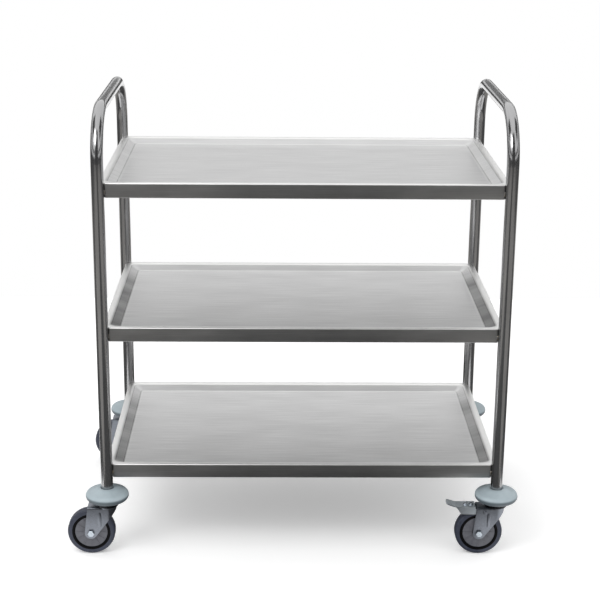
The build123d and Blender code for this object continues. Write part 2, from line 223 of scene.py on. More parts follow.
# End frames. Each is one stainless tube of 25 mm, bent at both shoulders, so that two posts and the
# handle bar are a single piece. It is polished along its length and cut square at its feet.
post_x = 410 * MM
post_y = 250 * MM
tube_radius = 12.5 * MM
tube_wall = 1.5 * MM
tube_foot = 138 * MM
bar_height = 937.5 * MM
bend_radius = 100 * MM
bend_height = bar_height - bend_radius
half_length = bend_height + bend_radius * pi / 2 + post_y - bend_radius
bore_shown = 40 * MM
sharp_edge = radians(35)
tube_sides, post_steps, bend_steps, bar_steps = 48, 12, 20, 6
# Real belt lines are 0.1 mm apart: these are ten times coarser, so that they show
belt_line, belt_run = 1 * MM, 83.3333 * MM
wave_width, wave_run = 11.1111 * MM, 142.857 * MM

# Polished stainless: grey, with fine lines along the tube and the slow waves of the polishing belt
polished_tube, tree = material("polished_stainless_tube")
place = add(tree, "ShaderNodeAttribute", attribute_name="tube_rest").outputs["Vector"]
lines = add(
    tree, "ShaderNodeMapping", {"Vector": place, "Scale": (1 / belt_line, 1 / belt_line, 1 / belt_run)}
).outputs[0]
lines = add(tree, "ShaderNodeTexNoise", {"Vector": lines, "Scale": 1.0, "Detail": 3.0}).outputs["Fac"]
waves = add(
    tree, "ShaderNodeMapping", {"Vector": place, "Scale": (1 / wave_width, 1 / wave_width, 1 / wave_run)}
).outputs[0]
waves = add(tree, "ShaderNodeTexNoise", {"Vector": waves, "Scale": 1.0, "Detail": 2.0}).outputs["Fac"]
waves = add(tree, "ShaderNodeMapRange", {"Value": waves, "From Min": 0.3, "From Max": 0.7}).outputs[0]
grey = add(
    tree, "ShaderNodeMix", {0: waves, MIX_A: linear("#ACACAD"), MIX_B: linear("#BFBFC0")}, data_type="RGBA"
).outputs[MIX_RESULT]
rough = add(tree, "ShaderNodeMapRange", {"Value": lines, "To Min": 0.14, "To Max": 0.18}).outputs[0]
bump = add(tree, "ShaderNodeBump", {"Height": lines, "Strength": 0.01, "Distance": 0.0003}).outputs[0]
shader = add(
    tree, "ShaderNodeBsdfPrincipled",
    {"Base Color": grey, "Metallic": 1.0, "Roughness": rough, "Normal": bump},
)
add(tree, "ShaderNodeOutputMaterial", {"Surface": shader.outputs[0]})


def piece(name, bm, finish, body, slot, *replaced):
    """Finishes a mesh as a smooth piece of the trolley that moves with a body and stands for CAD nodes."""
    for face in bm.faces:
        face.smooth = True
    for edge in bm.edges:
        edge.smooth = edge.calc_face_angle(0) < sharp_edge
    mesh = bpy.data.meshes.new(name)
    bm.to_mesh(mesh)
    bm.free()
    mesh.materials.append(finish)
    made = bpy.data.objects.new(name, mesh)
    scene.collection.objects.link(made)
    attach(made, body)
    if replaced:
        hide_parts(*replaced)


def parts_of(geometry, kind):
    """The verts, edges or faces among what an operator returns."""
    return [part for part in geometry if isinstance(part, kind)]


def draw_on(bm, ring, step, count=1):
    """Extrudes a ring of edges by the same step a number of times, and returns the last ring."""
    for _ in range(count):
        grown = bmesh.ops.extrude_edge_only(bm, edges=ring)["geom"]
        verts = parts_of(grown, bmesh.types.BMVert)
        bmesh.ops.translate(bm, verts=verts, vec=step)
        fresh = set(verts)
        ring = [e for e in parts_of(grown, bmesh.types.BMEdge) if fresh.issuperset(e.verts)]
    return ring


def straightened(point, x):
    """Where a point of the bent tube lay before bending: twice across the tube, then along it."""
    y = abs(point.y)
    if point.z < bend_height:
        out, along = y - post_y, point.z
    elif y > post_y - bend_radius:
        out = hypot(y - post_y + bend_radius, point.z - bend_height) - bend_radius
        along = bend_height + bend_radius * atan2(point.z - bend_height, y - post_y + bend_radius)
    else:
        out, along = point.z - bar_height, half_length - y
    return Vector((point.x - x, out, along if point.y < 0 else 2 * half_length - along))


post = Vector((0, 0, bend_height - tube_foot))
bar = Vector((0, 2 * (post_y - bend_radius), 0))
bore = 1 - tube_wall / tube_radius
for side, x in (("left", -post_x), ("right", post_x)):
    bm = bmesh.new()
    start = Matrix.Translation((x, -post_y, tube_foot))
    circle = bmesh.ops.create_circle(bm, segments=tube_sides, radius=tube_radius, matrix=start)["verts"]
    first = list({edge for vert in circle for edge in vert.link_edges})
    ring = draw_on(bm, first, post / post_steps, post_steps)
    for bend, run, steps in ((-1, bar, bar_steps), (1, -post, post_steps)):
        bent = bmesh.ops.spin(
            bm, geom=ring + list({v for e in ring for v in e.verts}),
            cent=(x, bend * (post_y - bend_radius), bend_height), axis=(-1, 0, 0), dvec=(0, 0, 0),
            angle=pi / 2, steps=bend_steps, use_merge=False, use_duplicate=False,
        )["geom_last"]
        ring = draw_on(bm, parts_of(bent, bmesh.types.BMEdge), run / steps, steps)
    for end, y in ((first, -post_y), (ring, post_y)):
        lip = draw_on(bm, end, Vector((0, 0, 0)))
        bmesh.ops.scale(
            bm, verts=list({v for e in lip for v in e.verts}), space=Matrix.Translation((-x, -y, 0)),
            vec=(bore, bore, 1),
        )
        draw_on(bm, lip, Vector((0, 0, bore_shown)))
    bmesh.ops.recalc_face_normals(bm, faces=bm.faces)
    rest = bm.verts.layers.float_vector.new("tube_rest")
    for vert in bm.verts:
        vert[rest] = straightened(vert.co, x)
    piece(f"{side}_tube", bm, polished_tube, "trolley_frame", "satin_tube", f"{side}_end_frame")


# Trays. Each is pressed from one 1 mm stainless sheet: a well with sloped walls, a flat rim, a folded
# skirt with a return under it, and a notch at each corner, where it is welded to a post.
rims = {"bottom": 200 * MM, "middle": 500 * MM, "top": 800 * MM}
notch = 13 * MM
notch_round = 2.4 * MM
skirt = 30 * MM
skirt_return = 9 * MM
fold = 2 * MM
foot_fold = 1.4 * MM
rim_width = 14 * MM
wall_run = 19 * MM
well_depth = 12 * MM
rim_corner = 16 * MM
floor_corner = 6 * MM
rim_crease = 3.2 * MM
floor_crease = 2.6 * MM
sheet = 1 * MM
wall_slant = hypot(wall_run, well_depth) / well_depth
# Real brush lines are 0.15 mm apart: these are five times coarser, so that they show
brush_line, brush_run = 0.769231 * MM, 111.111 * MM
cloud_width, cloud_run = 62.5 * MM, 166.667 * MM
# How much painted shade darkens the finish, from 0 as brushed to 1 as a mid grey
skirt_shade_paint, crease_shade_paint = 0.55, 0.75
wall_shade_paint = {"bottom": 0.55, "middle": 0.72, "top": 0.0}
# The painted shade on the end walls lessens between these distances towards the rear
shade_fade_from, shade_fade_to = 80 * MM, 190 * MM

# Brushed stainless sheet: pale grey, with long fine lines from end to end and faint cloudy patches
brushed_tray, tree = material("brushed_stainless_sheet")
place = add(tree, "ShaderNodeUVMap", uv_map="grain").outputs["UV"]
lines = add(
    tree, "ShaderNodeMapping", {"Vector": place, "Scale": (1 / brush_run, 1 / brush_line, 1)}
).outputs[0]
lines = add(tree, "ShaderNodeTexNoise", {"Vector": lines, "Scale": 1.0, "Detail": 4.0}).outputs["Fac"]
clouds = add(
    tree, "ShaderNodeMapping", {"Vector": place, "Scale": (1 / cloud_run, 1 / cloud_width, 1)}
).outputs[0]
clouds = add(tree, "ShaderNodeTexNoise", {"Vector": clouds, "Scale": 1.0, "Detail": 4.0}).outputs["Fac"]
streaks = add(tree, "ShaderNodeMapRange", {"Value": lines, "From Min": 0.3, "From Max": 0.7}).outputs[0]
grey = add(
    tree, "ShaderNodeMix", {0: streaks, MIX_A: linear("#CCCCCC"), MIX_B: linear("#EEEEEE")}, data_type="RGBA"
).outputs[MIX_RESULT]
haze = add(
    tree, "ShaderNodeMapRange", {"Value": clouds, "From Min": 0.4, "From Max": 0.65, "To Max": 0.16}
).outputs[0]
grey = add(
    tree, "ShaderNodeMix", {0: haze, MIX_A: grey, MIX_B: linear("#C4C4C4")}, data_type="RGBA"
).outputs[MIX_RESULT]
# The rim and the bends get a painted highlight. The skirt and the creases at the ends get painted shade, and
# so do the end walls of the two lower trays, less towards the rear
highlight_share = add(tree, "ShaderNodeAttribute", attribute_name="painted_highlight").outputs["Fac"]
grey = add(
    tree, "ShaderNodeMix", {0: highlight_share, MIX_A: grey, MIX_B: linear("#FCFCFB")}, data_type="RGBA"
).outputs[MIX_RESULT]
# The painted shade on the end walls lessens towards the rear
rearward = add(tree, "ShaderNodeSeparateXYZ", {0: place}).outputs["Y"]
front_shade = add(
    tree, "ShaderNodeMapRange",
    {"Value": rearward, "From Min": shade_fade_from, "From Max": shade_fade_to, "To Min": 1.0, "To Max": 0.2},
).outputs[0]
painted_shade = add(tree, "ShaderNodeAttribute", attribute_name="end_wall_shade").outputs["Fac"]
painted_shade = add(tree, "ShaderNodeMath", {0: painted_shade, 1: front_shade}, operation="MULTIPLY").outputs[0]
dimmed = add(tree, "ShaderNodeAttribute", attribute_name="shaded").outputs["Fac"]
painted_shade = add(tree, "ShaderNodeMath", {0: painted_shade, 1: dimmed}, operation="ADD").outputs[0]
patches = add(
    tree, "ShaderNodeMapRange",
    {"Value": clouds, "From Min": 0.3, "From Max": 0.7, "To Min": 0.7, "To Max": 1.15},
).outputs[0]
painted_shade = add(tree, "ShaderNodeMath", {0: painted_shade, 1: patches}, operation="MULTIPLY").outputs[0]
grey = add(
    tree, "ShaderNodeMix", {0: painted_shade, MIX_A: grey, MIX_B: linear("#696969")}, data_type="RGBA"
).outputs[MIX_RESULT]
rough = add(tree, "ShaderNodeMapRange", {"Value": clouds, "To Min": 0.37, "To Max": 0.49}).outputs[0]
bump = add(tree, "ShaderNodeBump", {"Height": lines, "Strength": 0.12, "Distance": 0.0003}).outputs[0]
shader = add(
    tree, "ShaderNodeBsdfPrincipled",
    {"Base Color": grey, "Metallic": 1.0, "Roughness": rough, "Normal": bump},
)
add(tree, "ShaderNodeOutputMaterial", {"Surface": shader.outputs[0]})


def rounded_plate(bm, inset, corner, height):
    """A rounded rectangle at an inset from the posts' axes, as one face."""
    size = Matrix.Diagonal((2 * (post_x - inset), 2 * (post_y - inset), 1, 1))
    verts = bmesh.ops.create_grid(
        bm, x_segments=1, y_segments=1, size=0.5, matrix=Matrix.Translation((0, 0, height)) @ size
    )["verts"]
    rounded = bmesh.ops.bevel(
        bm, geom=verts, offset=corner, offset_type="OFFSET", segments=14, profile=0.5, affect="VERTICES",
        material=-1,
    )["verts"]
    return rounded[0].link_faces[0]


def notched_plate(bm, inset, height):
    """The tray's outline at an inset from the posts' axes, with a round notch at each post, as one face."""
    reach = notch + inset
    short = asin(inset / reach)
    older = set(bm.verts)
    ends = []
    for sign_x, sign_y, turn in ((1, 1, -90), (-1, 1, 0), (-1, -1, 90), (1, -1, 180)):
        centre = Vector((sign_x * post_x, sign_y * post_y, height))
        first = bm.verts.new(centre + Matrix.Rotation(radians(turn) - short, 3, "Z") @ Vector((reach, 0, 0)))
        last = bmesh.ops.spin(
            bm, geom=[first], cent=centre, axis=(0, 0, -1), dvec=(0, 0, 0), angle=pi / 2 - 2 * short, steps=8,
            use_merge=False, use_duplicate=False,
        )["geom_last"]
        ends.append((first, parts_of(last, bmesh.types.BMVert)[0]))
    sides = [bm.edges.new((last, first)) for (_, last), (first, _) in zip(ends, ends[1:] + ends[:1])]
    rim = {edge for vert in bm.verts if vert not in older for edge in vert.link_edges}
    bmesh.ops.contextual_create(bm, geom=list(rim.union(sides)))
    rounded = bmesh.ops.bevel(
        bm, geom=[vert for pair in ends for vert in pair], offset=notch_round, offset_type="OFFSET",
        segments=3, profile=0.5, affect="VERTICES", material=-1,
    )["verts"]
    return rounded[0].link_faces[0]


def opened(bm, face):
    """Takes a face away, and returns the edges and verts that it leaves."""
    edges, verts = face.edges[:], face.verts[:]
    bmesh.ops.delete(bm, geom=[face], context="FACES_ONLY")
    return edges, verts


# Loops in one plane can be bridged either way round, so the inner one is held off its plane meanwhile
blank = bmesh.new()
outline, _ = opened(blank, notched_plate(blank, 0, 0))
foot = draw_on(blank, outline, Vector((0, 0, -skirt)))
return_loop, return_verts = opened(blank, notched_plate(blank, skirt_return, -2 * skirt))
bmesh.ops.bridge_loops(blank, edges=foot + return_loop)
bmesh.ops.translate(blank, verts=return_verts, vec=(0, 0, skirt))
top_loop, top_verts = opened(blank, rounded_plate(blank, rim_width, rim_corner, -skirt))
bmesh.ops.bridge_loops(blank, edges=outline + top_loop)
bmesh.ops.translate(blank, verts=top_verts, vec=(0, 0, skirt))
floor_loop = rounded_plate(blank, rim_width + wall_run, floor_corner, -well_depth).edges[:]
bmesh.ops.bridge_loops(blank, edges=top_loop + floor_loop)
bmesh.ops.recalc_face_normals(blank, faces=blank.faces)
painted_highlight = blank.faces.layers.float.new("painted_highlight")
shaded = blank.faces.layers.float.new("shaded")
end_wall_shade = blank.faces.layers.float.new("end_wall_shade")
# The rim gets a painted highlight. The skirt gets painted shade, and the end walls a share of painted shade
# that each level scales
for face in blank.faces:
    on_rim = all(abs(vert.co.z) < 0.1 * MM for vert in face.verts)
    on_skirt = abs(face.normal.z) < 0.1
    face[painted_highlight] = 1.0 if on_rim else 0.0
    if on_skirt:
        face[shaded] = skirt_shade_paint
    else:
        face[end_wall_shade] = (abs(face.normal.x) * wall_slant) ** 3
# Every fold is rounded. Creases get a painted highlight along the sides, and painted shade where they face
# the ends
for edges, width, steps, highlight_part, shade in (
    (outline, fold, 4, 1.0, 0.0), (foot, foot_fold, 3, 0.0, 0.0),
    (top_loop, rim_crease, 5, 1.0, crease_shade_paint), (floor_loop, floor_crease, 5, 0.35, crease_shade_paint),
):
    bent = bmesh.ops.bevel(
        blank, geom=edges, offset=width, offset_type="OFFSET", segments=steps, profile=0.5, affect="EDGES",
        clamp_overlap=False, material=-1,
    )["faces"]
    blank.normal_update()
    for face in bent:
        slant = min(1.0, abs(face.normal.x) * wall_slant) if shade else 0.0
        face[painted_highlight] = highlight_part * (1 - slant)
        face[shaded] = shade * slant ** 2
        face[end_wall_shade] = slant ** 3
bmesh.ops.recalc_face_normals(blank, faces=blank.faces)
bmesh.ops.solidify(blank, geom=blank.faces[:], thickness=sheet)
brushing = blank.loops.layers.uv.new("grain")
for face in blank.faces:
    on_end = abs(face.normal.x) > 0.8
    for loop in face.loops:
        co = loop.vert.co
        loop[brushing].uv = (co.z, co.y) if on_end else (co.x, co.y + co.z)
# Each level scales the painted shade on its end walls: most on the middle tray, none on the top one
for level, height in rims.items():
    bm = blank.copy()
    bmesh.ops.translate(bm, verts=bm.verts, vec=(0, 0, height))
    end_wall_shade = bm.faces.layers.float["end_wall_shade"]
    for face in bm.faces:
        face[end_wall_shade] *= wall_shade_paint[level]
    piece(f"{level}_pressed_tray", bm, brushed_tray, "trolley_frame", "brushed_tray", f"{level}_tray")
blank.free()


# Tray welds. A short bead of weld joins each end of each skirt to its post. It was brushed clean and
# keeps its ripples and a trace of straw-coloured heat tint.
weld_ripple = 1.2 * MM
tint_patch = 4 * MM
WAVE = 0.314  # a wave texture repeats at this step of its scaled place


def dress(finish, *names):
    """Gives CAD nodes, which keep their mesh, the material of the real piece."""
    for name in names:
        nodes[name].data.materials.clear()
        nodes[name].data.materials.append(finish)


# Weld metal: ripples one above the other, grey with a straw tint in patches
weld, tree = material("brushed_weld")
place = add(tree, "ShaderNodeTexCoord").outputs["Object"]
ripples = add(
    tree, "ShaderNodeTexWave", {"Vector": place, "Scale": WAVE / weld_ripple, "Distortion": 1.5},
    bands_direction="Z",
).outputs["Fac"]
tint = add(
    tree, "ShaderNodeTexNoise", {"Vector": place, "Scale": 1 / tint_patch, "Detail": 2.0}
).outputs["Fac"]
tint = add(tree, "ShaderNodeMapRange", {"Value": tint, "From Min": 0.4, "From Max": 0.7}).outputs[0]
grey = add(
    tree, "ShaderNodeMix", {0: tint, MIX_A: linear("#A6A6A6"), MIX_B: linear("#A79A80")}, data_type="RGBA"
).outputs[MIX_RESULT]
rough = add(tree, "ShaderNodeMapRange", {"Value": ripples, "To Min": 0.25, "To Max": 0.5}).outputs[0]
bump = add(tree, "ShaderNodeBump", {"Height": ripples, "Strength": 0.5, "Distance": 0.0002}).outputs[0]
shader = add(
    tree, "ShaderNodeBsdfPrincipled",
    {"Base Color": grey, "Metallic": 1.0, "Roughness": rough, "Normal": bump},
)
add(tree, "ShaderNodeOutputMaterial", {"Surface": shader.outputs[0]})
dress(weld, "tray_welds")


# Castor stems. Each castor hangs on a turned steel kingpin, whose stem is screwed into a nylon plug in the
# foot of the post.
turning = 0.6 * MM
oil_patch = 5.55556 * MM
nylon_cloud = 8.33333 * MM

# Turned steel: grey, with the fine rings that the lathe leaves along the pin
turned, tree = material("turned_steel")
place = add(tree, "ShaderNodeTexCoord").outputs["Object"]
rings = add(
    tree, "ShaderNodeTexWave", {"Vector": place, "Scale": WAVE / turning, "Distortion": 0.4},
    bands_direction="Z",
).outputs["Fac"]
oil = add(tree, "ShaderNodeTexNoise", {"Vector": place, "Scale": 1 / oil_patch, "Detail": 3.0}).outputs["Fac"]
grey = add(
    tree, "ShaderNodeMix", {0: oil, MIX_A: linear("#8E8F92"), MIX_B: linear("#B4B5B7")}, data_type="RGBA"
).outputs[MIX_RESULT]
rough = add(tree, "ShaderNodeMapRange", {"Value": oil, "To Min": 0.2, "To Max": 0.4}).outputs[0]
bump = add(tree, "ShaderNodeBump", {"Height": rings, "Strength": 0.2, "Distance": 0.0001}).outputs[0]
shader = add(
    tree, "ShaderNodeBsdfPrincipled",
    {"Base Color": grey, "Metallic": 1.0, "Roughness": rough, "Normal": bump},
)
add(tree, "ShaderNodeOutputMaterial", {"Surface": shader.outputs[0]})
dress(turned, "castor_stems")

# Natural nylon: a waxy off-white that lets a little light in
nylon, tree = material("natural_nylon")
place = add(tree, "ShaderNodeTexCoord").outputs["Object"]
milky = add(
    tree, "ShaderNodeTexNoise", {"Vector": place, "Scale": 1 / nylon_cloud, "Detail": 3.0}
).outputs["Fac"]
white = add(
    tree, "ShaderNodeMix", {0: milky, MIX_A: linear("#D9D5C8"), MIX_B: linear("#E8E5DA")}, data_type="RGBA"
).outputs[MIX_RESULT]
rough = add(tree, "ShaderNodeMapRange", {"Value": milky, "To Min": 0.4, "To Max": 0.55}).outputs[0]
shader = add(
    tree, "ShaderNodeBsdfPrincipled",
    {"Base Color": white, "Roughness": rough, "Subsurface Weight": 0.15, "Subsurface Scale": 0.002},
)
add(tree, "ShaderNodeOutputMaterial", {"Surface": shader.outputs[0]})
dress(nylon, "stem_inserts")


# Buffers. Each is a grey ring of tough rubber, moulded in two halves and pushed on the foot of a post over
# the castor's head. Its rim keeps the trolley off walls and door frames.
corners = {"front_left": (-1, -1), "front_right": (1, -1), "rear_left": (-1, 1), "rear_right": (1, 1)}
buffer_middle = 131 * MM
parting = 0.7 * MM
# Painted shade on the buffer's lower half begins above the parting line and is full from it down
shade_top, shade_full = 3.5 * MM, 0 * MM
rubber_grain = 0.625 * MM  # really about 0.1 mm: coarser, so that it shows
scuff = 11.1111 * MM


def from_castor(tree, point):
    """The place on a piece as seen from the front left castor, which the other three repeat."""
    place = add(tree, "ShaderNodeTexCoord").outputs["Object"]
    place = add(tree, "ShaderNodeVectorMath", {0: place, 1: point}, operation="SUBTRACT").outputs[0]
    return add(
        tree, "ShaderNodeVectorMath", {0: place, 1: (post_x, post_y, 1.0), 2: (-post_x, -post_y, -1.0)},
        operation="WRAP",
    ).outputs[0]


# Moulded rubber: an even blue-grey with a fine grain, and the mould's parting line round the rim
buffer_rubber, tree = material("grey_moulded_rubber")
place = from_castor(tree, (-post_x, -post_y, buffer_middle))
grain = add(
    tree, "ShaderNodeTexNoise", {"Vector": place, "Scale": 1 / rubber_grain, "Detail": 2.0}
).outputs["Fac"]
scuffs = add(tree, "ShaderNodeTexNoise", {"Vector": place, "Scale": 1 / scuff, "Detail": 6.0}).outputs["Fac"]
scuffs = add(tree, "ShaderNodeMapRange", {"Value": scuffs, "From Min": 0.35, "From Max": 0.65}).outputs[0]
grey = add(
    tree, "ShaderNodeMix", {0: scuffs, MIX_A: linear("#A0ADB3"), MIX_B: linear("#A5B2B8")}, data_type="RGBA"
).outputs[MIX_RESULT]
# The lower half is darkened with painted shade, up to just over the parting line
above = add(tree, "ShaderNodeSeparateXYZ", {0: place}).outputs["Z"]
lower_shade = add(
    tree, "ShaderNodeMapRange", {"Value": above, "From Min": shade_top, "From Max": shade_full}
).outputs[0]
grey = add(
    tree, "ShaderNodeMix", {0: lower_shade, MIX_A: grey, MIX_B: linear("#525C62")}, data_type="RGBA"
).outputs[MIX_RESULT]
off_seam = add(tree, "ShaderNodeMath", {0: above}, operation="ABSOLUTE").outputs[0]
seam = add(
    tree, "ShaderNodeMapRange", {"Value": off_seam, "From Max": parting, "To Min": 0.6, "To Max": 0.0}
).outputs[0]
grey = add(
    tree, "ShaderNodeMix", {0: seam, MIX_A: grey, MIX_B: linear("#75838A")}, data_type="RGBA"
).outputs[MIX_RESULT]
rough = add(tree, "ShaderNodeMapRange", {"Value": scuffs, "To Min": 0.36, "To Max": 0.46}).outputs[0]
bump = add(tree, "ShaderNodeBump", {"Height": grain, "Strength": 0.08, "Distance": 0.0002}).outputs[0]
shader = add(tree, "ShaderNodeBsdfPrincipled", {"Base Color": grey, "Roughness": rough, "Normal": bump})
add(tree, "ShaderNodeOutputMaterial", {"Surface": shader.outputs[0]})
dress(buffer_rubber, *[f"buffer_{corner}" for corner in corners])


# Swivel heads. A pressed cup closes the upper row of balls on top of the fork, and a second row runs under
# the fork's crown. The cup is near black, as painted shade under the buffer, and the balls are bright and
# greased.
rubbed_patch = 3.33333 * MM

# Steel in painted shade: near black for the shade under the buffer, a little oily, rubbed grey in places
shade_black_steel, tree = material("steel_in_painted_shade")
place = add(tree, "ShaderNodeTexCoord").outputs["Object"]
rubbed = add(
    tree, "ShaderNodeTexNoise", {"Vector": place, "Scale": 1 / rubbed_patch, "Detail": 4.0}
).outputs["Fac"]
rubbed = add(tree, "ShaderNodeMapRange", {"Value": rubbed, "From Min": 0.4, "From Max": 0.75}).outputs[0]
black = add(
    tree, "ShaderNodeMix", {0: rubbed, MIX_A: linear("#2B2C2E"), MIX_B: linear("#4A4B4E")}, data_type="RGBA"
).outputs[MIX_RESULT]
rough = add(tree, "ShaderNodeMapRange", {"Value": rubbed, "To Min": 0.42, "To Max": 0.3}).outputs[0]
shader = add(tree, "ShaderNodeBsdfPrincipled", {"Base Color": black, "Metallic": 1.0, "Roughness": rough})
add(tree, "ShaderNodeOutputMaterial", {"Surface": shader.outputs[0]})
for corner in corners:
    dress(shade_black_steel, f"swivel_cup_{corner}")
    dress(turned, f"swivel_balls_{corner}")


# Forks. Each is pressed from 2.5 mm steel sheet and zinc-plated, with a stiffening bead pressed outwards
# in both legs, between the crown and the axle.
trail = 35 * MM
fork_half = 18 * MM
bead_x = -16 * MM
bead_low, bead_high = 64 * MM, 97 * MM
bead_width = 7 * MM
bead_rise = 0.8 * MM
spangle_size = 2 * MM
# Real rolling lines are about 0.1 mm apart: these are coarser, so that they show
rolling_line, rolling_run = 0.666667 * MM, 16.6667 * MM

# Zinc-plated sheet: mid grey with a cool sheen, faint crystal spangles and the sheet's rolling lines
zinc, tree = material("zinc_plated_sheet")
place = add(tree, "ShaderNodeTexCoord").outputs["Object"]
spangle = add(tree, "ShaderNodeTexVoronoi", {"Vector": place, "Scale": 1 / spangle_size}).outputs["Color"]
spangle = add(tree, "ShaderNodeSeparateColor", {0: spangle}).outputs[0]
rolled = add(
    tree, "ShaderNodeMapping",
    {"Vector": place, "Scale": (1 / rolling_line, 1 / rolling_line, 1 / rolling_run)},
).outputs[0]
rolled = add(tree, "ShaderNodeTexNoise", {"Vector": rolled, "Scale": 1.0, "Detail": 2.0}).outputs["Fac"]
grey = add(
    tree, "ShaderNodeMix", {0: spangle, MIX_A: linear("#868990"), MIX_B: linear("#8D929B")}, data_type="RGBA"
).outputs[MIX_RESULT]
rough = add(tree, "ShaderNodeMapRange", {"Value": rolled, "To Min": 0.25, "To Max": 0.33}).outputs[0]
bump = add(tree, "ShaderNodeBump", {"Height": rolled, "Strength": 0.02, "Distance": 0.0002}).outputs[0]
shader = add(
    tree, "ShaderNodeBsdfPrincipled",
    {"Base Color": grey, "Metallic": 1.0, "Roughness": rough, "Normal": bump},
)
add(tree, "ShaderNodeOutputMaterial", {"Surface": shader.outputs[0]})

for corner, (side_x, side_y) in corners.items():
    dress(zinc, f"fork_{corner}")
    bm = bmesh.new()
    for leg in (-1, 1):
        middle = (side_x * post_x + bead_x, side_y * post_y + leg * fork_half, (bead_low + bead_high) / 2)
        bead = bmesh.ops.create_uvsphere(
            bm, u_segments=24, v_segments=12, radius=0.5,
            matrix=Matrix.Diagonal((bead_width, 2 * bead_rise, bead_width, 1)),
        )["verts"]
        for vert in bead:
            if abs(vert.co.z) > 0.1 * bead_width:
                vert.co.z += (bead_high - bead_low - bead_width) / 2 * (1 if vert.co.z > 0 else -1)
        bmesh.ops.translate(bm, verts=bead, vec=middle)
    piece(f"fork_beads_{corner}", bm, zinc, f"swivel_{corner}", "zinc_plate")


# Axles. A bright hexagon bolt passes both legs and a steel sleeve, which a self-locking nut clamps between
# the legs; the wheel's bush runs on the sleeve.
wheel_radius = 50 * MM
face_turning = 0.9 * MM
stain = 4.54545 * MM

# Bright zinc plate: pale and bluish, with the turned rings of the bolt's end face
bright, tree = material("bright_zinc_plate")
place = from_castor(tree, (-post_x - trail, -post_y, wheel_radius))
rings = add(
    tree, "ShaderNodeTexWave", {"Vector": place, "Scale": WAVE / face_turning}, wave_type="RINGS",
    rings_direction="Y",
).outputs["Fac"]
stains = add(tree, "ShaderNodeTexNoise", {"Vector": place, "Scale": 1 / stain, "Detail": 3.0}).outputs["Fac"]
pale = add(
    tree, "ShaderNodeMix", {0: stains, MIX_A: linear("#AEB8C1"), MIX_B: linear("#CFD7DE")}, data_type="RGBA"
).outputs[MIX_RESULT]
rough = add(tree, "ShaderNodeMapRange", {"Value": stains, "To Min": 0.12, "To Max": 0.3}).outputs[0]
bump = add(tree, "ShaderNodeBump", {"Height": rings, "Strength": 0.1, "Distance": 0.0001}).outputs[0]
shader = add(
    tree, "ShaderNodeBsdfPrincipled",
    {"Base Color": pale, "Metallic": 1.0, "Roughness": rough, "Normal": bump},
)
add(tree, "ShaderNodeOutputMaterial", {"Surface": shader.outputs[0]})
for corner in corners:
    dress(bright, f"axle_bolt_{corner}", f"axle_nut_{corner}")
    dress(turned, f"axle_sleeve_{corner}", f"wheel_bush_{corner}")


# Wheels. A black plastic body carries a solid grey tyre, held sideways by a flange on each face of the
# body, and a ribbed grey disc is snapped over its web on both sides.
tyre_half = 12 * MM
flange_radius = 38.2 * MM
flange_width = 4.4 * MM
flange_rise = 0.4 * MM
plastic_grain, tyre_grain = 1.11111 * MM, 0.833333 * MM  # really about 0.2 mm: coarser, so that they show
dust_patch = 7.14286 * MM
mottle_size = 6.66667 * MM

# Black plastic: deep black with little shine and the fine grain of the mould
wheel_black, tree = material("black_polypropylene")
place = add(tree, "ShaderNodeTexCoord").outputs["Object"]
grain = add(
    tree, "ShaderNodeTexNoise", {"Vector": place, "Scale": 1 / plastic_grain, "Detail": 2.0}
).outputs["Fac"]
black = add(
    tree, "ShaderNodeMix", {0: grain, MIX_A: linear("#060607"), MIX_B: linear("#0E0E10")}, data_type="RGBA"
).outputs[MIX_RESULT]
rough = add(tree, "ShaderNodeMapRange", {"Value": grain, "To Min": 0.35, "To Max": 0.5}).outputs[0]
bump = add(tree, "ShaderNodeBump", {"Height": grain, "Strength": 0.06, "Distance": 0.0002}).outputs[0]
shader = add(
    tree, "ShaderNodeBsdfPrincipled",
    {"Base Color": black, "Roughness": rough, "Specular IOR Level": 0.08, "Normal": bump},
)
add(tree, "ShaderNodeOutputMaterial", {"Surface": shader.outputs[0]})

# Tyre rubber: dark slate, dusty in patches, with the parting line of its mould round the tread
tyre_rubber, tree = material("slate_grey_rubber")
place = from_castor(tree, (-post_x - trail, -post_y, wheel_radius))
dust = add(
    tree, "ShaderNodeTexNoise", {"Vector": place, "Scale": 1 / dust_patch, "Detail": 6.0}
).outputs["Fac"]
dust = add(tree, "ShaderNodeMapRange", {"Value": dust, "From Min": 0.45, "From Max": 0.75}).outputs[0]
slate = add(
    tree, "ShaderNodeMix", {0: dust, MIX_A: linear("#2F3443"), MIX_B: linear("#3C4150")}, data_type="RGBA"
).outputs[MIX_RESULT]
across = add(tree, "ShaderNodeSeparateXYZ", {0: place}).outputs["Y"]
across = add(tree, "ShaderNodeMath", {0: across}, operation="ABSOLUTE").outputs[0]
seam = add(
    tree, "ShaderNodeMapRange", {"Value": across, "From Max": parting, "To Min": 1.0, "To Max": 0.0}
).outputs[0]
grain = add(
    tree, "ShaderNodeTexNoise", {"Vector": place, "Scale": 1 / tyre_grain, "Detail": 2.0}
).outputs["Fac"]
grain = add(tree, "ShaderNodeMath", {0: grain, 1: seam}, operation="ADD").outputs[0]
rough = add(tree, "ShaderNodeMapRange", {"Value": dust, "To Min": 0.45, "To Max": 0.65}).outputs[0]
bump = add(tree, "ShaderNodeBump", {"Height": grain, "Strength": 0.15, "Distance": 0.0003}).outputs[0]
shader = add(tree, "ShaderNodeBsdfPrincipled", {"Base Color": slate, "Roughness": rough, "Normal": bump})
add(tree, "ShaderNodeOutputMaterial", {"Surface": shader.outputs[0]})

